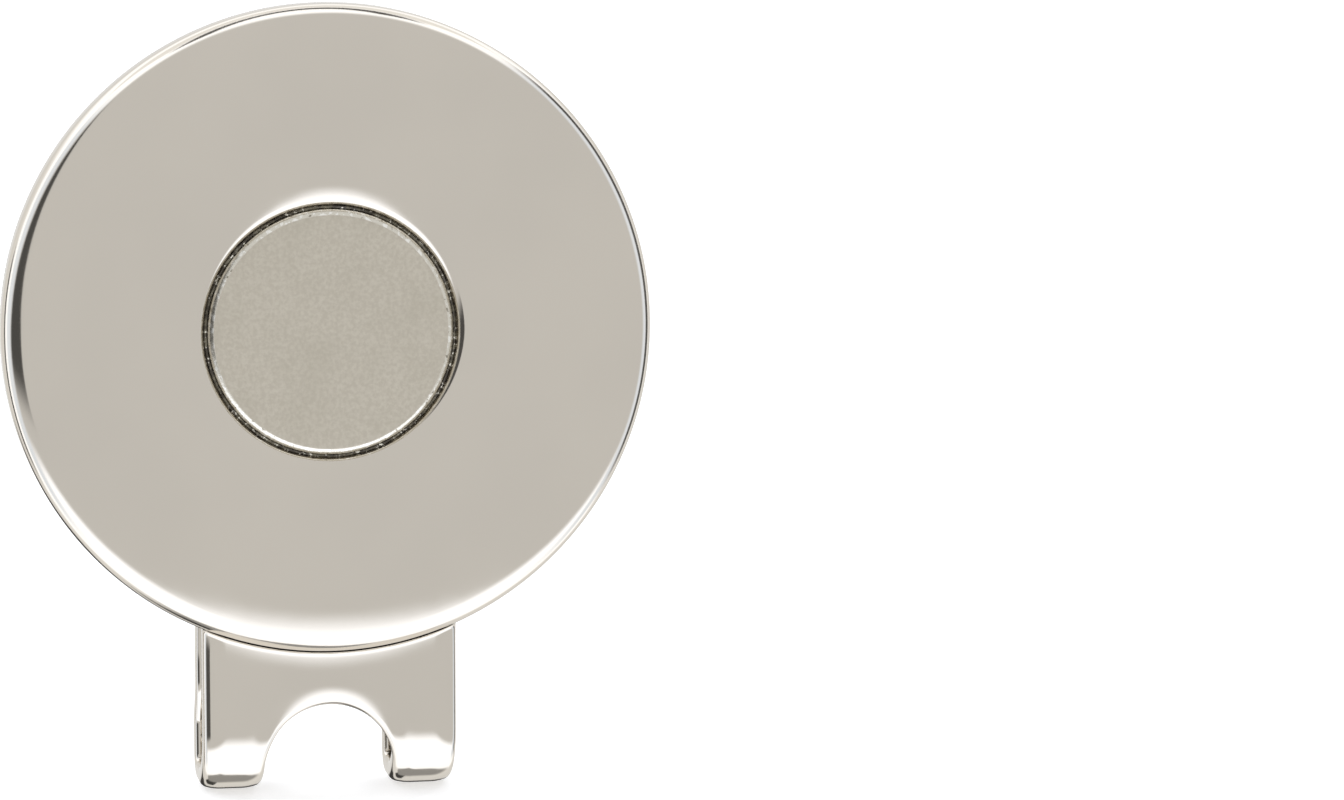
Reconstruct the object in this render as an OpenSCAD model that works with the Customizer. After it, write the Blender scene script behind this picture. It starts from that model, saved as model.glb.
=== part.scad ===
// Magnetic hat clip that holds a golf ball marker on its front face.
// Millimetres. -Y is the way the front face looks, +Z runs from the fold up to the top of
// the plate, and +X is to the right when looking at the front face.
// The origin is the middle of the front face, where a marker sits.

/* [Plate] */
// Diameter of the round plate
plate_d = 31.75; // [30:0.25:34]
// Thickness of the plate
plate_t = 2.6; // [2.4:0.1:3]
// Radius of the tight curve at the plate's front edge
edge_r = 1.3; // [1:0.1:1.5]
// Width of the band where the front face begins to roll off to its edge
roll_w = 2.5; // [2:0.1:3]
// Radius of that slow roll-off
roll_r = 8; // [6:0.5:12]

/* [Magnet] */
// Diameter of the disc magnet
magnet_d = 12; // [10:0.5:13]
// Thickness of the magnet
magnet_t = 1.5; // [1.2:0.1:1.6]
// How far the magnet's face lies below the front face
magnet_recess = 0.15; // [0.1:0.05:0.3]
// Radial gap between the magnet and the wall of its pocket
pocket_gap = 0.15; // [0.1:0.05:0.25]
// Thickness of the adhesive under the magnet
glue_t = 0.1; // [0.05:0.05:0.15]
// Radius of the tight curve at the pocket's rim
rim_r = 0.55; // [0.4:0.05:0.7]

/* [Clip strip] */
// Width of the strip
strip_w = 12.5; // [12:0.1:14]
// Thickness of the strip
strip_t = 1.2; // [1.1:0.05:1.3]
// Width of the slot between the legs
slot_w = 6.3; // [5.5:0.1:6.6]
// Height of the slot's top in the tab, below the plate's middle
front_arch = 18.6; // [18:0.1:19]
// Height of the slot's top in the arm, below the plate's middle
rear_arch = 13.25; // [12.8:0.05:13.6]

/* [Fold] */
// Height of the fold's lowest point, below the plate's middle
fold_z = 23.1; // [22.9:0.1:23.5]
// Outer radius where the front legs turn under
fold_front_r = 3.2; // [3:0.1:3.4]
// Outer radius where the rear legs turn up
fold_rear_r = 1.5; // [1.3:0.1:1.7]
// Length of the flat between the two turns
fold_flat = 0.9; // [0.8:0.1:1.2]

/* [Arm] */
// Height of the upright panel at the back of the fold
panel_h = 1.5; // [1.3:0.1:1.7]
// Angle at which the rear legs step in towards the plate
step_angle = 27; // [24:1:30]
// Length of that step
step_len = 1.2; // [1:0.1:1.4]
// Length of the upright stretch above the step
upright_len = 0.85; // [0.7:0.05:1]
// Lean of the arm towards the plate
arm_lean = 6.6; // [6.2:0.1:6.8]
// Length of the arm's straight stretch
arm_len = 16.35; // [16.1:0.05:16.6]
// Radius of the bend that touches the brim
contact_r = 3.4; // [3:0.1:3.8]
// Angle of the lip away from upright
lip_angle = 22; // [18:1:24]
// Height of the lip's tip above the plate's middle
lip_top = 6.65; // [6:0.05:6.8]
// Height at which the lip's round end begins
lip_round_z = 1.9; // [1.5:0.1:2.5]

/* [Hidden] */

plate_r = plate_d / 2;
pocket_r = magnet_d / 2 + pocket_gap;
pocket_depth = magnet_recess + magnet_t + glue_t;
rim_w = 1.3;
rim_roll_r = 4;
tab_y = plate_t - strip_t / 2;
tab_cut = 19.4;
arm_cut = 14.1;
lip_cut = 1.7;
split_y = plate_t - strip_t + fold_front_r + fold_flat / 2;
steps = 10;
far = 30;

plated = [0.76, 0.74, 0.70];
strip_colour = [0.80, 0.78, 0.73];
magnet_colour = [0.70, 0.68, 0.63];
glue_colour = [0.45, 0.42, 0.36];

// Angle at which a slow roll of radius big hands over to a tight curve of radius small,
// across a band of width w.
function hand_over(w, big, small) = asin((w - small) / (big - small));

// Depth and distance along a rolled edge, from the flat to the wall: [distance, depth].
function rolled(w, big, small) =
  let (a = hand_over(w, big, small),
       d0 = big * (1 - cos(a)))
  concat(
    [for (i = [0:3]) let (q = a * i / 3) [big * sin(q), big * (1 - cos(q))]],
    [for (i = [1:steps]) let (q = a + (90 - a) * i / steps)
      [w - small + small * sin(q), d0 + small * (cos(a) - cos(q))]]
  );

// The strip's centreline, walked from the tab round the fold to the lip's tip.
// [0, length] is a straight; [1, radius, turn] is a bend, in degrees.
strip_path = [
  [0, fold_z - fold_front_r - 10],
  [1, fold_front_r - strip_t / 2, 90],
  [0, fold_flat],
  [1, fold_rear_r - strip_t / 2, 90],
  [0, panel_h],
  [1, 1.2, step_angle],
  [0, step_len],
  [1, 1.5, -step_angle],
  [0, upright_len],
  [1, 6, arm_lean],
  [0, arm_len],
  [1, contact_r, -(arm_lean + lip_angle)],
  [0, 9]
];

function advance(s, g) = g[0] == 0
  ? [s[0] + g[1] * cos(s[2]), s[1] + g[1] * sin(s[2]), s[2]]
  : let (k = sign(g[2]), t = s[2] + g[2])
    [s[0] - k * g[1] * sin(s[2]) + k * g[1] * sin(t),
     s[1] + k * g[1] * cos(s[2]) - k * g[1] * cos(t), t];

function state(i) = i == 0 ? [tab_y, -10, -90] : advance(state(i - 1), strip_path[i - 1]);

// Points along the centreline, each with its heading.
function stations() = concat([state(0)], [
  for (i = [0:len(strip_path) - 1])
    let (s = state(i), g = strip_path[i])
    if (g[0] == 0) advance(s, g)
    else for (j = [1:steps]) advance(s, [1, g[1], g[2] * j / steps])
]);

function beside(s, off) = [s[0] + off * sin(s[2]), s[1] - off * cos(s[2])];

// Side view of the whole strip, in Y and Z.
module strip_side() {
  at = stations();
  n = len(at);
  polygon(concat(
    [for (i = [0:n - 1]) beside(at[i], strip_t / 2)],
    [for (i = [0:n - 1]) beside(at[n - 1 - i], -strip_t / 2)]
  ));
}

module strip() {
  translate([-strip_w / 2, 0, 0])
    rotate([90, 0, 90]) linear_extrude(strip_w) strip_side();
}

// A flat shape drawn in X and Z, given depth along Y.
module through(y0, y1) {
  translate([0, y1, 0]) rotate([90, 0, 0]) linear_extrude(y1 - y0) children();
}

module box(x, y, z) {
  translate([x[0], y[0], z[0]]) cube([x[1] - x[0], y[1] - y[0], z[1] - z[0]]);
}

// Round-topped slot, open downwards.
module slot(top, y0, y1) {
  through(y0, y1) union() {
    translate([0, -top - slot_w / 2]) circle(d = slot_w, $fn = 64);
    translate([-slot_w / 2, -fold_z - 2]) square([slot_w, fold_z + 2 - top - slot_w / 2]);
  }
}

// The lip's round end, with the arm below it.
module lip_outline() {
  h = lip_top - lip_round_z;
  polygon(concat(
    [[-strip_w / 2, -far]],
    [for (i = [0:24]) let (a = 180 - 180 * i / 24)
      [strip_w / 2 * cos(a), lip_round_z + h * sin(a)]],
    [[strip_w / 2, -far]]
  ));
}

module holder_disc() {
  edge = rolled(roll_w, roll_r, edge_r);
  rim = rolled(rim_w, rim_roll_r, rim_r);
  n = len(edge);
  m = len(rim);
  color(plated) rotate([-90, 0, 0]) rotate_extrude($fn = 128) polygon(concat(
    [[0, pocket_depth], [pocket_r, pocket_depth]],
    [for (i = [0:m - 1]) [pocket_r + rim_w - rim[m - 1 - i][0], rim[m - 1 - i][1]]],
    [for (i = [0:n - 1]) [plate_r - roll_w + edge[i][0], edge[i][1]]],
    [[plate_r, plate_t], [0, plate_t]]
  ));
}

module clip_tab() {
  color(strip_colour) difference() {
    intersection() {
      strip();
      box([-far, far], [0, plate_t + 0.2], [-tab_cut, -10.5]);
    }
    rotate([-90, 0, 0]) translate([0, 0, -1]) cylinder(r = plate_r, h = plate_t + 2, $fn = 128);
    slot(front_arch, 0, plate_t + 1);
  }
}

module front_leg(side) {
  color(strip_colour) difference() {
    intersection() {
      strip();
      box(side < 0 ? [-far, 0] : [0, far], [0, split_y], [-far, -tab_cut]);
    }
    slot(front_arch, 0, split_y + 1);
  }
}

module rear_leg(side) {
  color(strip_colour) difference() {
    intersection() {
      strip();
      union() {
        box(side < 0 ? [-far, 0] : [0, far], [split_y, far], [-far, -tab_cut]);
        box(side < 0 ? [-far, 0] : [0, far], [plate_t + 0.3, far], [-tab_cut, -arm_cut]);
      }
    }
    slot(rear_arch, plate_t + 0.3, far);
  }
}

module front_leg_left() { front_leg(-1); }
module front_leg_right() { front_leg(1); }
module rear_leg_left() { rear_leg(-1); }
module rear_leg_right() { rear_leg(1); }

module clip_arm() {
  color(strip_colour) difference() {
    intersection() {
      strip();
      box([-far, far], [plate_t + 0.1, far], [-arm_cut, lip_cut]);
    }
    slot(rear_arch, plate_t, far);
  }
}

module clip_lip() {
  color(strip_colour) intersection() {
    strip();
    box([-far, far], [plate_t + 0.1, far], [lip_cut, far]);
    through(0, far) lip_outline();
  }
}

module magnet() {
  c = 0.15;
  color(magnet_colour) rotate([-90, 0, 0]) rotate_extrude($fn = 128) polygon([
    [0, magnet_recess], [magnet_d / 2 - c, magnet_recess],
    [magnet_d / 2, magnet_recess + c], [magnet_d / 2, magnet_recess + magnet_t],
    [0, magnet_recess + magnet_t]
  ]);
}

// A film under the magnet, with what was squeezed up round its side.
module magnet_adhesive() {
  y0 = magnet_recess + magnet_t;
  color(glue_colour) rotate([-90, 0, 0]) rotate_extrude($fn = 128) polygon([
    [0, y0], [magnet_d / 2, y0], [magnet_d / 2, y0 - 0.5], [pocket_r, y0 - 0.5],
    [pocket_r, y0 + glue_t], [0, y0 + glue_t]
  ]);
}

holder_disc();
clip_tab();
front_leg_left();
front_leg_right();
rear_leg_left();
rear_leg_right();
clip_arm();
clip_lip();
magnet();
magnet_adhesive();
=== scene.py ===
import math

import bmesh
import bpy
import numpy as np
from mathutils import Matrix, Vector
from mathutils.geometry import delaunay_2d_cdt


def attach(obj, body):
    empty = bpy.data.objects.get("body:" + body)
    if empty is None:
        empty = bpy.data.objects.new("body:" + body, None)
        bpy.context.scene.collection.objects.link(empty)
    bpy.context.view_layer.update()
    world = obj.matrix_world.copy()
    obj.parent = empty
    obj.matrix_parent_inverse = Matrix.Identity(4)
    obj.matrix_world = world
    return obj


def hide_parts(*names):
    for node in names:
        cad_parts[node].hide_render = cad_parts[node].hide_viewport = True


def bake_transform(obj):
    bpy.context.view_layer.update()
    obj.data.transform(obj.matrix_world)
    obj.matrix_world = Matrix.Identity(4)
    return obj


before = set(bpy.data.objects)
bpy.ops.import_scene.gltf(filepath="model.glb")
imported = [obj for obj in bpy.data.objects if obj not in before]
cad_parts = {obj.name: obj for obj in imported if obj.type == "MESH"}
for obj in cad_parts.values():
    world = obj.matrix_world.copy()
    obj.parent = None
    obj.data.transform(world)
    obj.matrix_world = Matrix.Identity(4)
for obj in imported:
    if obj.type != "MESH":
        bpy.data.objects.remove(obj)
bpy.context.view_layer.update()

MM = 0.001

# ---------------------------------------------------------------- sizes, in mm
PLATE_R, PLATE_T = 15.87, 2.6
EDGE_R, ROLL_W, ROLL_R = 1.3, 2.5, 8.0
MAGNET_R, MAGNET_T, RECESS = 6.0, 1.5, 0.15
POCKET_R, POCKET_DEPTH = 6.15, 1.75
RIM_W, RIM_ROLL, RIM_R = 1.3, 4.0, 0.55
BACK_R = 0.20
STRIP_W, STRIP_T = 12.5, 1.2
SLOT_W, FRONT_ARCH, REAR_ARCH = 6.3, 18.6, 13.25
FOLD_Z = 23.1
LIP_ROUND_Z, LIP_TIP_Z = 1.9, 6.40
PITCH, CELL_TURN, BAND_DEPTH = 1.02, math.radians(13.0), 0.06
RIDGE, PIT_TILT, PIT_SLOPE = 0.025, 0.165, 0.018
PRESS_R, PRESS_X, PRESS_Z, PRESS_END_Z = 15.6, -0.45, -0.35, -18.9
STRIP_ROLL_W, STRIP_ROLL, STRIP_R, STRIP_INNER_R = 1.05, 2.5, 0.48, 0.25
FILLET_R, FILLET_RUN = 0.26, 1.1
LIP_CROWN = 0.22
RING = 512

scene = bpy.context.scene
scene.view_settings.view_transform = "Standard"
scene.view_settings.look = "None"
scene.view_settings.exposure = 0.0
scene.view_settings.gamma = 1.0


# ---------------------------------------------------------------- mesh helpers
def make_mesh(name, verts, faces, sharp_angle=None):
    """A mesh from points in mm and faces, merged, with outward normals."""
    me = bpy.data.meshes.new(name)
    me.from_pydata([tuple(v) for v in np.asarray(verts, float) * MM], [], [tuple(int(i) for i in f) for f in faces])
    bm = bmesh.new()
    bm.from_mesh(me)
    bmesh.ops.remove_doubles(bm, verts=bm.verts, dist=1e-7)
    bmesh.ops.dissolve_degenerate(bm, edges=bm.edges, dist=1e-8)
    bmesh.ops.recalc_face_normals(bm, faces=bm.faces)
    for f in bm.faces:
        f.smooth = True
    if sharp_angle is not None:
        limit = math.radians(sharp_angle)
        for e in bm.edges:
            e.smooth = not (len(e.link_faces) == 2 and e.calc_face_angle(0) > limit)
    bm.to_mesh(me)
    bm.free()
    me.update()
    ob = bpy.data.objects.new(name, me)
    scene.collection.objects.link(ob)
    return ob


def bridge(a, b, closed=True):
    """Quads between two rows of point numbers."""
    n = len(a)
    last = n if closed else n - 1
    return [(a[i], a[(i + 1) % n], b[(i + 1) % n], b[i]) for i in range(last)]


def rolled(width, big, small, tight=14, slow=7):
    """[distance, depth] along an edge that rolls off slowly and then turns tightly, from the flat to the wall."""
    a = math.asin((width - small) / (big - small))
    d0 = big * (1 - math.cos(a))
    out = [(big * math.sin(q), big * (1 - math.cos(q))) for q in np.linspace(0, a, slow)]
    out += [
        (width - small + small * math.sin(q), d0 + small * (math.cos(a) - math.cos(q)))
        for q in np.linspace(a, math.pi / 2, tight)[1:]
    ]
    return out


def fill(points, loops):
    """Triangles over the area inside the first loop and outside the others. Returns the points in use and the triangles."""
    edges, n = [], 0
    for loop in loops:
        k = len(loop)
        edges += [(n + i, n + (i + 1) % k) for i in range(k)]
        n += k
    allp = np.concatenate([*loops, points]) if len(points) else np.concatenate(loops)
    v, _, f, *_ = delaunay_2d_cdt([Vector(p) for p in allp], edges, [], 1, 1e-6)
    v = np.array([tuple(p) for p in v])
    tris = np.array([tuple(t) for t in f])
    for hole in loops[1:]:
        mid = v[tris].mean(axis=1)
        odd = np.zeros(len(mid), bool)
        for (x0, y0), (x1, y1) in zip(hole, np.roll(hole, -1, axis=0)):
            if y0 != y1:
                odd ^= ((mid[:, 1] < y0) != (mid[:, 1] < y1)) & (mid[:, 0] < x0 + (x1 - x0) * (mid[:, 1] - y0) / (y1 - y0))
        tris = tris[~odd]
    return v, [tuple(int(i) for i in t) for t in tris]


def smooth01(t):
    t = np.clip(t, 0, 1)
    return t * t * (3 - 2 * t)


# ---------------------------------------------------------------- the pressed back
# Rows of wedge-shaped pits under thin ridges. Along a row, across goes from 0 at a cell's left to 1 at its right,
# seen from behind; down goes from 0 at its top to 1 at its bottom.
ACROSS = np.array([0.0, 0.112, 0.24, 0.36, 0.50, 0.66, 0.76, 0.90])
DOWN = np.array([0.0, 0.132, 0.45, 0.53, 0.61, 0.69, 0.77, 0.90, 0.945, 0.96])


def lattice(x, z):
    """Turned lattice co-ordinates of a point on the back, in cells. Rows rise towards -X."""
    c, s = math.cos(CELL_TURN), math.sin(CELL_TURN)
    return (x * c - z * s) / PITCH, (x * s + z * c) / PITCH


def unlattice(u, v):
    c, s = math.cos(CELL_TURN), math.sin(CELL_TURN)
    x, z = u * PITCH, v * PITCH
    return x * c + z * s, -x * s + z * c


def pressed(cu, cv):
    """Whether the cell whose middle is at lattice point (cu, cv) is pressed into the back."""
    x, z = unlattice(cu, cv)
    on_plate = (x - PRESS_X) ** 2 + (z - PRESS_Z) ** 2 < PRESS_R ** 2
    on_tab = (np.abs(x) < STRIP_W / 2) & (z < -12) & (z > PRESS_END_Z)
    return on_plate | on_tab


def press(x, z):
    """Depth of the pressed pattern below the back's face, in mm."""
    u, v = lattice(x, z)
    # a point on the line between two cells always counts to the same one of them
    cu, cv = np.floor(u + 1e-4) + 0.5, np.floor(v + 1e-4) + 0.5
    across, down = 0.5 - (u - cu), 0.5 - (v - cv)
    # a little unevenness from cell to cell, the same each run
    h = np.sin(cu * 12.9898 + cv * 78.233) * 43758.5453
    h = h - np.floor(h)
    right_wall = 1 - np.clip((across - 0.66) / 0.10, 0, 1)
    low_wall = 1 - np.clip((down - 0.77) / 0.13, 0, 1)
    # the pit's upper border rises from the cell's left to a point near its right wall
    rise = np.clip((across - 0.06) / 0.34, 0, 1)
    pit = np.maximum(0, np.minimum(down, 0.77) - (0.77 - 0.32 * rise)) * right_wall * low_wall
    slope = np.clip((across - 0.125) / 0.535, 0, 1) * np.clip(down / 0.77, 0, 1) * right_wall * low_wall
    ridge = np.clip((down - 0.90) / 0.045, 0, 1) * np.clip((1.0 - down) / 0.04, 0, 1)
    depth = BAND_DEPTH - RIDGE * ridge + (0.86 + 0.28 * h) * PIT_TILT * PITCH * pit + PIT_SLOPE * slope
    r = np.hypot(x, z)
    at_tab = (np.abs(x) < STRIP_W / 2) & (z < 0)
    edge = np.where(at_tab, 1.0, 1 - smooth01((r - 15.35) / 0.3))
    return np.where(pressed(cu, cv), depth, 0.0) * edge


def lattice_points(x0, x1, z0, z1):
    cs = [lattice(x, z) for x in (x0, x1) for z in (z0, z1)]
    u0, u1 = math.floor(min(c[0] for c in cs)) - 1, math.ceil(max(c[0] for c in cs)) + 1
    v0, v1 = math.floor(min(c[1] for c in cs)) - 1, math.ceil(max(c[1] for c in cs)) + 1
    us = (np.arange(u0, u1)[:, None] + 1 - ACROSS[None, :]).ravel()
    vs = (np.arange(v0, v1)[:, None] + 1 - DOWN[None, :]).ravel()
    U, V = np.meshgrid(us, vs)
    x, z = unlattice(U.ravel(), V.ravel())
    ok = (x > x0) & (x < x1) & (z > z0) & (z < z1)
    return np.stack([x[ok], z[ok]], 1)


# ---------------------------------------------------------------- plate
def ring_points(r):
    th = np.linspace(0, 2 * math.pi, RING, endpoint=False)
    return np.stack([r * np.cos(th), r * np.sin(th)], 1)


def tab_share(x, z):
    """0 where the tab leaves the plate's lower edge, 1 elsewhere."""
    out = smooth01((np.abs(x) - (STRIP_W / 2 - 0.02)) / 0.25)
    return np.where(z > 0, 1.0, out)


def build_plate():
    verts, faces, rows = [], [], []

    def ring(r, y):
        p = ring_points(r)
        start = len(verts)
        ys = np.broadcast_to(y, (RING,))
        verts.extend(np.stack([p[:, 0], ys, p[:, 1]], 1).tolist())
        row = list(range(start, start + RING))
        rows.append(row)
        return row

    # pocket floor, its corner and wall
    for r, y in ((5.4, POCKET_DEPTH), (POCKET_R - 0.1, POCKET_DEPTH), (POCKET_R - 0.03, POCKET_DEPTH - 0.03), (POCKET_R, POCKET_DEPTH - 0.1)):
        ring(r, y)
    for d, depth in reversed(rolled(RIM_W, RIM_ROLL, RIM_R, 10, 5)):
        ring(POCKET_R + RIM_W - d, depth)
    ring(9.4, 0.0)
    ring(11.4, 0.0)
    edge = rolled(ROLL_W, ROLL_R, EDGE_R, 13, 6)
    for d, depth in edge:
        ring(PLATE_R - ROLL_W + d, depth)
    outer = ring_points(PLATE_R)
    share = tab_share(outer[:, 0], outer[:, 1])
    ring(PLATE_R, 1.9)
    for q in np.linspace(0, math.pi / 2, 7):
        r = PLATE_R - BACK_R * (1 - math.cos(q))
        p = ring_points(r)
        down = BACK_R * share * (1 - math.sin(q))
        ring(r, PLATE_T - down - press(p[:, 0], p[:, 1]) * (1 - share))
    for a, b in zip(rows, rows[1:]):
        faces.extend(bridge(a, b))
    faces.append(tuple(rows[0]))
    # the pressed back, inside the last ring
    inner = ring_points(PLATE_R - BACK_R)
    lat = lattice_points(-16, 16, -16, 16)
    lat = lat[(lat ** 2).sum(1) < (PLATE_R - BACK_R - 0.07) ** 2]
    pts, tris = fill(lat, [inner])
    base = len(verts)
    # the first RING points are the ring itself, and share its vertices by merging
    y = PLATE_T - press(pts[:, 0], pts[:, 1])
    y[:RING] = [verts[i][1] for i in rows[-1]]
    verts.extend(np.stack([pts[:, 0], y, pts[:, 1]], 1).tolist())
    faces.extend([tuple(base + i for i in t) for t in tris])
    return make_mesh("plate", verts, faces, 17)


# ---------------------------------------------------------------- clip strip
PATH = [
    (0, FOLD_Z - 3.2 - 10), (1, 2.6, 90), (0, 0.9), (1, 0.9, 90), (0, 1.5), (1, 1.2, 27), (0, 1.2),
    (1, 1.5, -27), (0, 0.85), (1, 6, 6.6), (0, 16.35), (1, 0.95, -11.1), (1, 6.5, -8.5), (1, 3.5, -9.0), (0, 9),
]
ARM, LIP = 10, 14


def advance(s, g):
    y, z, t = s
    r = math.radians
    if g[0] == 0:
        return (y + g[1] * math.cos(r(t)), z + g[1] * math.sin(r(t)), t)
    k, n = math.copysign(1, g[2]), t + g[2]
    return (
        y - k * g[1] * math.sin(r(t)) + k * g[1] * math.sin(r(n)),
        z + k * g[1] * math.cos(r(t)) - k * g[1] * math.cos(r(n)),
        n,
    )


STATIONS = [(0.0, (PLATE_T - STRIP_T / 2, -10.0, -90.0))]
for g in PATH:
    s0, p0 = STATIONS[-1]
    STATIONS.append((s0 + (g[1] if g[0] == 0 else g[1] * math.radians(abs(g[2]))), advance(p0, g)))


def along(s):
    """Centreline point and heading, in radians, at path length s, for an array of s."""
    s = np.asarray(s, float)
    y, z, t = np.zeros_like(s), np.zeros_like(s), np.zeros_like(s)
    for (s0, p0), (s1, _), g in zip(STATIONS, STATIONS[1:], PATH):
        here = (s >= s0) & (s <= s1 + 1e-9) if g is not PATH[0] else s <= s1
        ds = s[here] - s0
        th0 = math.radians(p0[2])
        if g[0] == 0:
            y[here], z[here], t[here] = p0[0] + ds * math.cos(th0), p0[1] + ds * math.sin(th0), th0
        else:
            k = math.copysign(1, g[2])
            th = th0 + k * ds / g[1]
            y[here] = p0[0] - k * g[1] * math.sin(th0) + k * g[1] * np.sin(th)
            z[here] = p0[1] + k * g[1] * math.cos(th0) - k * g[1] * np.cos(th)
            t[here] = th
    return y, z, t


def s_at_z(z, piece):
    """Path length at which the centreline of straight number piece reaches height z."""
    s0, p0 = STATIONS[piece]
    return s0 + (z - p0[1]) / math.sin(math.radians(p0[2]))


S_FRONT_ARCH = FRONT_ARCH - 10.0
S_REAR_ARCH = s_at_z(-REAR_ARCH, ARM)
S_LIP = s_at_z(LIP_ROUND_Z, LIP)
S_TIP = s_at_z(LIP_TIP_Z, LIP)


def plate_edge_s(x):
    return np.sqrt(PLATE_R ** 2 - x ** 2) - 10.0


NEAR_PLATE = [0.02, 0.05, 0.08, 0.11, 0.15, 0.19, 0.23, 0.28, 0.36, 0.48, 0.65, 0.85, 1.05]


def outer_outline(inset):
    """Outline of the flat strip, inset from its free edges: up the left side, round the lip, down the right side, and back along the plate's edge."""
    hw = STRIP_W / 2 - inset
    top = S_TIP - S_LIP - inset
    ang = np.linspace(math.pi, 0, 84)
    lip = np.stack([hw * np.cos(ang), S_LIP + top * np.sin(ang)], 1)
    start = float(plate_edge_s(hw))
    rows = strip_rows()
    rows = rows[(rows > plate_edge_s(STRIP_W / 2 - STRIP_ROLL_W) + NEAR_PLATE[-1] + 0.1) & (rows < S_LIP - 0.02)]
    rows = np.concatenate([start + np.array(NEAR_PLATE), rows])
    left = np.stack([np.full(len(rows), -hw), rows], 1)
    right = left[::-1] * [-1, 1]
    ax = np.linspace(hw, -hw, 62)
    arc = np.stack([ax, plate_edge_s(ax)], 1)
    return np.concatenate([left, lip, right, arc])


def strip_rows():
    """Path lengths at which the strip has a row of points: close together in the bends."""
    out = []
    for (s0, _), (s1, _), g in zip(STATIONS, STATIONS[1:], PATH):
        step = 0.42 if g[0] == 0 else min(0.14, g[1] * math.radians(4.0))
        n = max(2, int(round((s1 - s0) / step)))
        out += list(np.linspace(s0, s1, n, endpoint=False))
    return np.array(out + [STATIONS[-1][0]])


def slot_outline(inset, n_arc=56):
    """The slot, grown by inset into the metal, counted the same way round for every inset."""
    r = SLOT_W / 2
    c0, c1 = S_FRONT_ARCH + r, S_REAR_ARCH - r
    rows = strip_rows()
    rows = rows[(rows > c0 + 0.03) & (rows < c1 - 0.03)]
    a0 = np.linspace(math.pi, 2 * math.pi, n_arc)
    a1 = np.linspace(0, math.pi, n_arc)
    R = r + inset
    return np.concatenate([
        np.stack([R * np.cos(a0), c0 + R * np.sin(a0)], 1),
        np.stack([np.full(len(rows), R), rows], 1),
        np.stack([R * np.cos(a1), c1 + R * np.sin(a1)], 1),
        np.stack([np.full(len(rows), -R), rows[::-1]], 1),
    ])


def in_strip(p, inset):
    """Which points of p are inside the outline and outside the slot, by more than inset."""
    x, s = p[:, 0], p[:, 1]
    hw = STRIP_W / 2 - inset
    ok = (np.abs(x) < hw) & (s > plate_edge_s(np.clip(np.abs(x), 0, STRIP_W / 2)) + 0.015)
    tip = S_TIP - S_LIP - inset
    ok &= (s < S_LIP) | ((x / hw) ** 2 + ((s - S_LIP) / tip) ** 2 < 1)
    r = SLOT_W / 2 + inset
    c0, c1 = S_FRONT_ARCH + SLOT_W / 2, S_REAR_ARCH - SLOT_W / 2
    near = np.hypot(x, np.where(s < c0, s - c0, np.where(s > c1, s - c1, 0)))
    return ok & (near > r)


def to_space(x, s, n):
    """A point of the flat strip, in space. n is the height above the centreline on the smooth side."""
    y, z, t = along(s)
    return np.stack([x, y + n * np.sin(t), z - n * np.cos(t)], 1)


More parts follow.
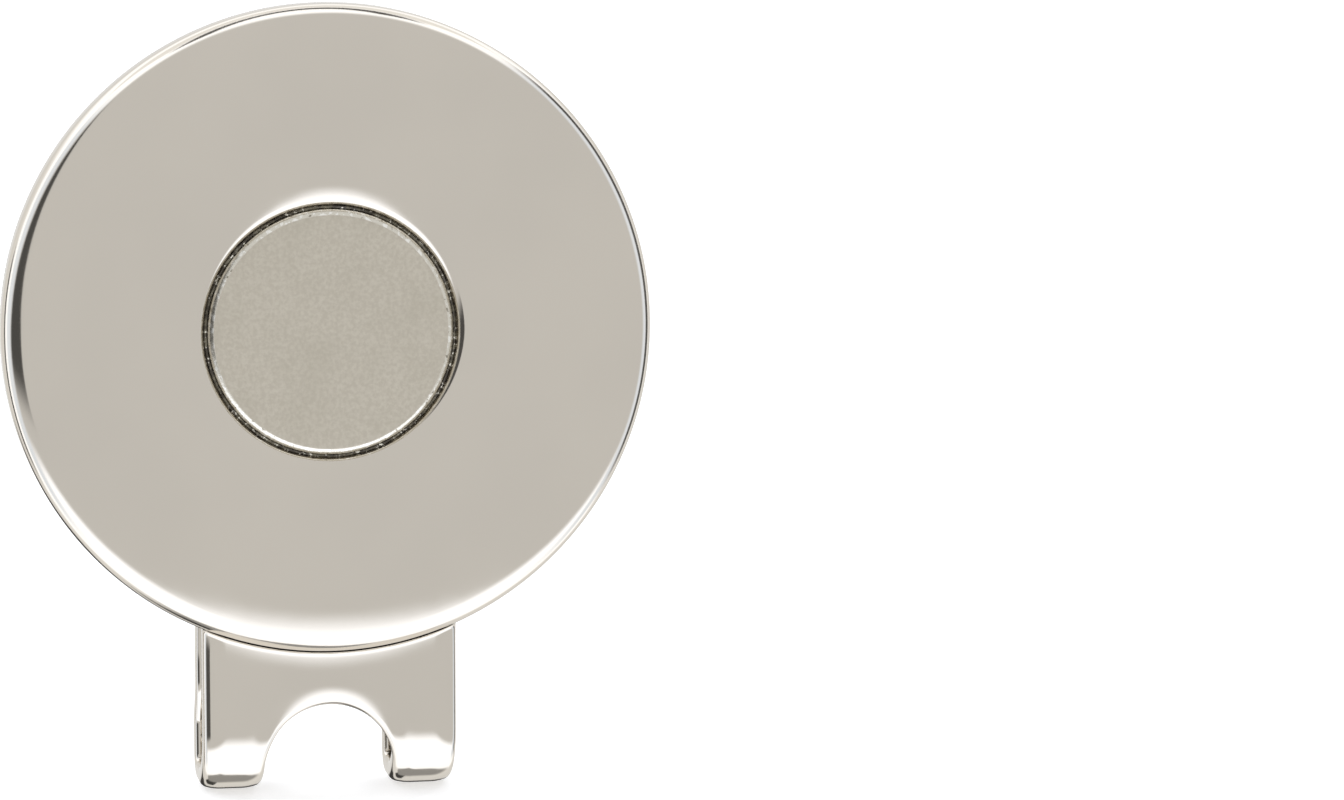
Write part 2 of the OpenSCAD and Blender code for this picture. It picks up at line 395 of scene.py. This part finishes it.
def build_strip():
    half = STRIP_T / 2
    # (inset, height) of each ring round the free edges, from the smooth face over the edge to the inner face
    profile = [(STRIP_ROLL_W - d, half - depth) for d, depth in rolled(STRIP_ROLL_W, STRIP_ROLL, STRIP_R, 10, 5)]
    profile += [
        (STRIP_INNER_R * (1 - math.cos(q)), -half + STRIP_INNER_R * (1 - math.sin(q))) for q in np.linspace(0, math.pi / 2, 6)
    ]
    flat, faces = [], []
    lip_start = STATIONS[LIP][0]

    def height(p, n, is_top):
        """Adds the fillet against the plate's edge on the smooth side, and the lip's slight crown."""
        crown = LIP_CROWN * (1 - (p[:, 0] / (STRIP_W / 2)) ** 2) * smooth01((p[:, 1] - lip_start) / 6.0)
        n = n + crown
        if not is_top:
            return n
        gap = np.hypot(p[:, 0], 10.0 + p[:, 1]) - PLATE_R
        q = np.clip((FILLET_R - gap) / FILLET_R, 0, 1)
        run = np.clip((FILLET_RUN - gap) / FILLET_RUN, 0, 1)
        rise = FILLET_R * (1 - np.sqrt(np.clip(1 - q * q, 0, 1))) + 0.09 * run ** 2
        return n + np.where(p[:, 1] < 9, rise, 0)

    outs, slots = [], []
    for inset, n in profile:
        for make, rows in ((outer_outline, outs), (slot_outline, slots)):
            p = make(inset)
            start = len(flat)
            h = height(p, np.full(len(p), n), n > 0)
            flat.extend(np.stack([p[:, 0], p[:, 1], h], 1).tolist())
            rows.append(list(range(start, start + len(p))))
    for rows in (outs, slots):
        for a, b in zip(rows, rows[1:]):
            faces.extend(bridge(a, b))
    for is_top, inset, k in ((True, profile[0][0], 0), (False, profile[-1][0], -1)):
        loops = [outer_outline(inset), slot_outline(inset)]
        rows = strip_rows()
        cols = np.arange(-5.8, 5.81, 0.4)
        X, S = np.meshgrid(cols, rows)
        grid = np.stack([X.ravel(), S.ravel()], 1)
        if is_top:
            near = plate_edge_s(np.clip(np.abs(grid[:, 0]), 0, 6.2))
            grid = grid[grid[:, 1] > near + NEAR_PLATE[-1] + 0.15]
            extra = []
            for gap in NEAR_PLATE:
                xs = np.arange(-5.7, 5.71, 0.19)
                r = PLATE_R + gap
                extra.append(np.stack([xs, np.sqrt(r * r - xs ** 2) - 10.0], 1))
            grid = np.concatenate([grid, *extra])
            ok = in_strip(grid, inset + 0.03)
        else:
            end = -10.0 - PRESS_END_Z + 0.6
            grid = grid[grid[:, 1] > end]
            lat = lattice_points(-6.2, 6.2, -10.0 - end + 0.02, -13.5)
            lat = np.stack([lat[:, 0], -10.0 - lat[:, 1]], 1)
            grid = np.concatenate([grid, lat])
            ok = in_strip(grid, inset + 0.05)
        pts, tris = fill(grid[ok], loops)
        h = height(pts, np.full(len(pts), half if is_top else -half), is_top)
        if not is_top:
            h = h + np.where(pts[:, 1] < 9.5, press(pts[:, 0], -10.0 - pts[:, 1]), 0)
        base = len(flat)
        # points on the rings merge with the rings', so they take the rings' heights
        ring = np.array([flat[i] for i in outs[k]] + [flat[i] for i in slots[k]])
        h[: len(ring)] = ring[:, 2]
        flat.extend(np.stack([pts[:, 0], pts[:, 1], h], 1).tolist())
        faces.extend([tuple(base + i for i in t) for t in tris])
    flat = np.array(flat)
    return make_mesh("clip_strip", to_space(flat[:, 0], flat[:, 1], flat[:, 2]), faces, 55)


# ---------------------------------------------------------------- magnet and adhesive
def revolve(name, profile, n, sharp=55, warp=None):
    """A closed turned piece from (radius, y) points, front middle to back middle."""
    verts, faces, rows = [], [], []
    th = np.linspace(0, 2 * math.pi, n, endpoint=False)
    for r, y in profile:
        start = len(verts)
        rr, yy = np.full(n, r), np.full(n, y)
        if warp:
            rr, yy = warp(rr, yy, th)
        verts.extend(np.stack([rr * np.cos(th), yy, rr * np.sin(th)], 1).tolist())
        rows.append(list(range(start, start + n)))
    for a, b in zip(rows, rows[1:]):
        faces.extend(bridge(a, b))
    faces.append(tuple(rows[0]))
    faces.append(tuple(reversed(rows[-1])))
    return make_mesh(name, verts, faces, sharp)


def build_magnet():
    y0 = RECESS
    prof = [(1.5, y0), (3.0, y0), (4.5, y0), (5.4, y0), (5.66, y0), (5.71, y0 + 0.003), (5.74, y0 + 0.012)]
    prof += [(5.87, y0 + 0.085), (5.92, y0 + 0.14), (5.97, y0 + 0.19), (5.99, y0 + 0.25), (MAGNET_R, y0 + 0.32)]
    y1 = y0 + MAGNET_T
    prof += [(MAGNET_R - 0.1 * (1 - math.cos(q)), y1 - 0.1 + 0.1 * math.sin(q)) for q in np.linspace(0, math.pi / 2, 6)]
    prof += [(3.0, y1)]
    return revolve("magnet_disc", prof, 256)


def build_adhesive():
    y0 = RECESS + MAGNET_T

    def warp(r, y, th):
        k = np.sin(th * 7 + 0.6) * 0.5 + np.sin(th * 19 + 2.1) * 0.3 + np.sin(th * 43 + 4.0) * 0.2
        front = y < 1.0
        return r, np.where(front, y + 0.10 * k, y)

    prof = [
        (MAGNET_R - 0.25, y0 - 0.001), (MAGNET_R + 0.004, y0 - 0.001), (MAGNET_R + 0.004, 0.56), (MAGNET_R + 0.04, 0.50),
        (POCKET_R - 0.05, 0.48), (POCKET_R - 0.004, 0.53), (POCKET_R - 0.004, POCKET_DEPTH - 0.12),
        (POCKET_R - 0.11, POCKET_DEPTH - 0.002), (3.0, POCKET_DEPTH - 0.002),
    ]
    prof = [(3.0, y0 + 0.002)] + [(r, y + 0.002 if y > 1.5 and r < MAGNET_R else y) for r, y in prof]
    return revolve("adhesive_ring", prof, 360, 40, warp)


plate = build_plate()
strip = build_strip()
magnet = build_magnet()
adhesive = build_adhesive()


# ---------------------------------------------------------------- materials
class Tree:
    """Short way to write a node tree."""

    def __init__(self, tree):
        self.tree = tree

    def node(self, kind, **settings):
        n = self.tree.nodes.new(kind)
        for k, v in settings.items():
            setattr(n, k, v)
        return n

    def link(self, a, b):
        self.tree.links.new(a, b)

    def put(self, socket, value):
        if hasattr(value, "is_output"):
            self.link(value, socket)
        else:
            socket.default_value = value

    def math(self, op, a, b=None, c=None, clamp=False):
        n = self.node("ShaderNodeMath", operation=op, use_clamp=clamp)
        for s, v in zip(n.inputs, (a, b, c)):
            if v is not None:
                self.put(s, v)
        return n.outputs[0]

    def ramp(self, value, a, b, lo=0.0, hi=1.0, smooth=True):
        n = self.node("ShaderNodeMapRange", interpolation_type="SMOOTHSTEP" if smooth else "LINEAR", clamp=True)
        self.put(n.inputs["Value"], value)
        for name, v in (("From Min", a), ("From Max", b), ("To Min", lo), ("To Max", hi)):
            n.inputs[name].default_value = v
        return n.outputs["Result"]

    def mix(self, factor, a, b):
        n = self.node("ShaderNodeMix", data_type="RGBA")
        self.put(n.inputs[0], factor)
        self.put(n.inputs[6], a)
        self.put(n.inputs[7], b)
        return n.outputs[2]

    def noise(self, vector, scale, detail=2.0, rough=0.5):
        n = self.node("ShaderNodeTexNoise")
        self.link(vector, n.inputs["Vector"])
        n.inputs["Scale"].default_value = scale
        n.inputs["Detail"].default_value = detail
        n.inputs["Roughness"].default_value = rough
        return n.outputs["Fac"]


def new_material(name):
    m = bpy.data.materials.new(name)
    m.use_nodes = True
    t = Tree(m.node_tree)
    bsdf = m.node_tree.nodes["Principled BSDF"]
    coord = t.node("ShaderNodeTexCoord").outputs["Object"]
    return m, t, bsdf, coord


def bump(t, bsdf, height, strength, distance):
    b = t.node("ShaderNodeBump")
    b.inputs["Strength"].default_value = strength
    b.inputs["Distance"].default_value = distance
    t.link(height, b.inputs["Height"])
    t.link(b.outputs["Normal"], bsdf.inputs["Normal"])


def nickel_material():
    m, t, b, co = new_material("polished_nickel")
    fine = t.noise(co, 9000, 3, 0.6)
    broad = t.noise(co, 140, 2, 0.5)
    tint = t.mix(t.ramp(broad, 0.3, 0.7), (0.655, 0.612, 0.545, 1), (0.675, 0.630, 0.560, 1))
    t.link(tint, b.inputs["Base Color"])
    b.inputs["Metallic"].default_value = 1.0
    b.inputs["Specular Tint"].default_value = (0.78, 0.77, 0.75, 1)
    rough = t.math("ADD", t.ramp(fine, 0.35, 0.7, 0.0, 0.03), t.ramp(broad, 0.3, 0.75, 0.085, 0.115))
    t.link(rough, b.inputs["Roughness"])
    waves = t.math("ADD", t.noise(co, 260, 2, 0.5), t.math("MULTIPLY", fine, 0.02))
    bump(t, b, waves, 0.06, 0.0002)
    return m


def magnet_material():
    """Matt grained face, with a smoother and slightly chipped rounded edge, whose lighter colour and near-white specks
    are a painted highlight and painted glints.
    """
    m, t, b, co = new_material("magnet_plating")
    grain = t.noise(co, 5200, 4, 0.65)
    cloud = t.noise(co, 420, 3, 0.6)
    chips_and_glints = t.noise(co, 3800, 2, 0.5)
    sep = t.node("ShaderNodeSeparateXYZ")
    t.link(co, sep.inputs[0])
    x, z = sep.outputs[0], sep.outputs[2]
    r = t.math("SQRT", t.math("ADD", t.math("MULTIPLY", x, x), t.math("MULTIPLY", z, z)))
    rim = t.ramp(r, 0.00569, 0.00574)
    c0 = t.mix(t.ramp(grain, 0.35, 0.68), (0.585, 0.54, 0.455, 1), (0.66, 0.615, 0.525, 1))
    c1 = t.mix(t.ramp(cloud, 0.42, 0.78, 0.0, 0.35), c0, (0.55, 0.51, 0.42, 1))
    # painted highlight: the rounded edge is lighter than the face, with near-white specks as painted glints; the dark
    # spots next are chipped plating
    edge = t.mix(t.ramp(chips_and_glints, 0.54, 0.62), (0.74, 0.71, 0.63, 1), (0.97, 0.96, 0.91, 1))
    edge = t.mix(t.ramp(chips_and_glints, 0.28, 0.36, 1.0, 0.0), edge, (0.30, 0.27, 0.22, 1))
    t.link(t.mix(rim, c1, edge), b.inputs["Base Color"])
    b.inputs["Metallic"].default_value = 1.0
    flat_rough = t.ramp(cloud, 0.3, 0.7, 0.36, 0.46)
    edge_rough = t.ramp(chips_and_glints, 0.3, 0.7, 0.20, 0.32)
    t.link(t.math("ADD", t.math("MULTIPLY", rim, edge_rough), t.math("MULTIPLY", t.math("SUBTRACT", 1.0, rim), flat_rough)), b.inputs["Roughness"])
    bump(t, b, t.math("ADD", grain, t.math("MULTIPLY", cloud, 0.4)), 0.5, 0.00002)
    return m


def adhesive_material():
    m, t, b, co = new_material("dried_adhesive")
    lumps = t.noise(co, 3000, 3, 0.6)
    specks = t.noise(co, 6500, 2, 0.5)
    c0 = t.mix(t.ramp(lumps, 0.4, 0.65), (0.06, 0.05, 0.038, 1), (0.20, 0.18, 0.13, 1))
    c1 = t.mix(t.ramp(specks, 0.60, 0.66), c0, (0.80, 0.77, 0.68, 1))
    t.link(c1, b.inputs["Base Color"])
    t.link(t.ramp(lumps, 0.3, 0.7, 0.25, 0.5), b.inputs["Roughness"])
    bump(t, b, lumps, 0.6, 0.00005)
    return m


NICKEL, MAGNET, GLUE = nickel_material(), magnet_material(), adhesive_material()
for ob, mat in ((plate, NICKEL), (strip, NICKEL), (magnet, MAGNET), (adhesive, GLUE)):
    ob.data.materials.clear()
    ob.data.materials.append(mat)

# ---------------------------------------------------------------- bodies
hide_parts("holder_disc")
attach(plate, "holder")
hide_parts("magnet")
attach(magnet, "holder")
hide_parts("magnet_adhesive")
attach(adhesive, "holder")
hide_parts("clip_tab", "front_leg_left", "front_leg_right", "rear_leg_left", "rear_leg_right", "clip_arm", "clip_lip")
# along (0, 1, 0.1): the tab is below 1.2 mm and the arm above 3.0 mm
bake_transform(strip)

# ---------------------------------------------------------------- floor, surroundings and camera
def build_floor():
    me = bpy.data.meshes.new("floor")
    a, z = 4.0, -FOLD_Z * MM - 0.00002
    me.from_pydata([(-a, -a, z), (a, -a, z), (a, a, z), (-a, a, z)], [], [(0, 1, 2, 3)])
    ob = bpy.data.objects.new("floor", me)
    scene.collection.objects.link(ob)
    m, t, b, co = new_material("pale_floor")
    n = t.noise(co, 30, 2, 0.5)
    t.link(t.mix(n, (0.93, 0.93, 0.93, 1), (0.95, 0.95, 0.95, 1)), b.inputs["Base Color"])
    b.inputs["Roughness"].default_value = 0.9
    b.inputs["Specular IOR Level"].default_value = 0.0
    b.inputs["Emission Color"].default_value = (1.0, 1.0, 1.0, 1)
    b.inputs["Emission Strength"].default_value = 0.34
    me.materials.append(m)
    ob.visible_glossy = False


def build_world():
    """Soft studio surroundings, painted by direction. In front they go by the angle from the direction that the
    front face mirrors, and by the clock angle round it; behind, by azimuth (0 towards +Y, 90 towards -X) and elevation."""
    w = bpy.data.worlds.new("studio")
    scene.world = w
    w.use_nodes = True
    t = Tree(w.node_tree)
    w.node_tree.nodes.clear()
    out = t.node("ShaderNodeOutputWorld")
    co = t.node("ShaderNodeTexCoord").outputs["Generated"]
    sep = t.node("ShaderNodeSeparateXYZ")
    t.link(co, sep.inputs[0])
    x, y, z = sep.outputs
    deg = 180 / math.pi

    def clamp1(v):
        return t.math("MINIMUM", t.math("MAXIMUM", v, -1.0), 1.0)

    def dot(vec):
        n = t.node("ShaderNodeVectorMath", operation="DOT_PRODUCT")
        t.link(co, n.inputs[0])
        n.inputs[1].default_value = tuple(vec)
        return n.outputs["Value"]

    el = t.math("MULTIPLY", t.math("ARCSINE", clamp1(z)), deg)
    azb = t.math("MULTIPLY", t.math("ARCTAN2", t.math("MULTIPLY", x, -1.0), y), deg)
    q = math.radians(7)
    mirror = Vector((math.sin(q) * math.cos(q), -math.cos(q) * math.cos(q), -math.sin(q)))
    left = Vector((0, 0, 1)).cross(mirror).normalized() * -1
    if left.x > 0:
        left = -left
    up = mirror.cross(left).normalized()
    if up.z < 0:
        up = -up
    rho = t.math("MULTIPLY", t.math("ARCCOSINE", clamp1(dot(mirror))), deg)
    clock = t.math("MULTIPLY", t.math("ARCTAN2", dot(left), dot(up)), deg)
    low = t.math("MULTIPLY", t.math("ARCTAN2", dot(left), dot(-up)), deg)

    def grey(v):
        return (v, v, v, 1)

    def band(value, a, b, sa=6, sb=6):
        """1 between a and b, with soft ends."""
        return t.math("MULTIPLY", t.ramp(value, a - sa / 2, a + sa / 2), t.ramp(value, b - sb / 2, b + sb / 2, 1.0, 0.0))

    def both(*masks):
        m = masks[0]
        for k in masks[1:]:
            m = t.math("MULTIPLY", m, k)
        return m

    # in front
    turn = t.math("COSINE", t.math("DIVIDE", low, deg))
    late = t.math("MULTIPLY", t.math("SUBTRACT", 1.0, turn), 105.0)
    lit = both(band(low, -66, 60, 20, 14), t.ramp(t.math("SUBTRACT", rho, late), 4, 26))
    front = t.mix(lit, grey(0.80), (1.70, 1.76, 1.90, 1))
    inner = t.ramp(clock, 20, 92, 112, 40, smooth=False)
    left_dark = both(
        band(clock, 12, 106, 8, 12), t.ramp(t.math("SUBTRACT", rho, inner), -3, 3), t.ramp(rho, 84, 94, 1.0, 0.0)
    )
    front = t.mix(left_dark, front, grey(0.10))
    # behind
    back = t.mix(both(band(azb, -58, 58, 18, 18), t.ramp(el, 16, 36, 1.0, 0.0)), (1.70, 1.74, 1.84, 1), grey(1.08))
    # a pale, cool grey to both sides
    for az in ((-114, -74), (74, 114)):
        back = t.mix(both(band(azb, az[0], az[1], 12, 12), band(el, -45, 45, 16, 16)), back, (1.10, 1.19, 1.34, 1))
    for az, e, value, sa, se in (
        ((-58, 58), (43, 60), 1.22, 8, 4),
        ((-14, 30), (-34, -16), 0.07, 6, 4),
        ((0.9, 34), (-63, -46), 0.07, 1.4, 4),
        ((-56, 56), (-98, -61), 0.42, 18, 8),
        ((-70, 70), (62, 72), 0.14, 10, 3),
        ((52, 62), (-30, 8), 0.12, 3, 8),
        ((-78, -60), (-30, 40), 0.12, 6, 14),
    ):
        back = t.mix(both(band(azb, az[0], az[1], sa, sa), band(el, e[0], e[1], se, se)), back, grey(value))
    c = t.mix(t.ramp(y, -0.22, 0.02), front, back)
    bg = t.node("ShaderNodeBackground")
    t.link(c, bg.inputs["Color"])
    white = t.node("ShaderNodeBackground")
    white.inputs["Color"].default_value = (1.0, 1.0, 1.0, 1)
    path = t.node("ShaderNodeLightPath")
    pick = t.node("ShaderNodeMixShader")
    t.link(path.outputs["Is Camera Ray"], pick.inputs[0])
    t.link(bg.outputs[0], pick.inputs[1])
    t.link(white.outputs[0], pick.inputs[2])
    t.link(pick.outputs[0], out.inputs[0])


def build_camera():
    """The front face's middle falls at pixel (331.5, 332.5) of 1344 x 800, at 20.62 pixels a millimetre."""
    az, el, dist = math.radians(-7.0), math.radians(7.0), 300.0
    away = Vector((math.sin(az) * math.cos(el), -math.cos(az) * math.cos(el), math.sin(el)))
    target = Vector((0, 0.15, 0))
    f_px = 20.62 * dist
    cam = bpy.data.cameras.new("camera")
    cam.sensor_width = 36.0
    cam.lens = f_px * 36.0 / 1344
    cam.clip_start, cam.clip_end = 0.01, 20
    ob = bpy.data.objects.new("camera", cam)
    scene.collection.objects.link(ob)
    scene.camera = ob
    px, py = (331.5 - 672) / f_px, (400 - 332.5) / f_px
    # turn the camera until the target falls at (px, py)
    forward = -away
    for _ in range(20):
        q = forward.to_track_quat("-Z", "Y")
        local = q.inverted() @ (-away)
        u, v = local.x / -local.z, local.y / -local.z
        right, up = q @ Vector((1, 0, 0)), q @ Vector((0, 1, 0))
        forward = (forward + right * (u - px) + up * (v - py)).normalized()
    ob.rotation_mode = "QUATERNION"
    ob.location = (target + away * dist) * MM
    ob.rotation_quaternion = forward.to_track_quat("-Z", "Y")


build_floor()
build_world()
build_camera()
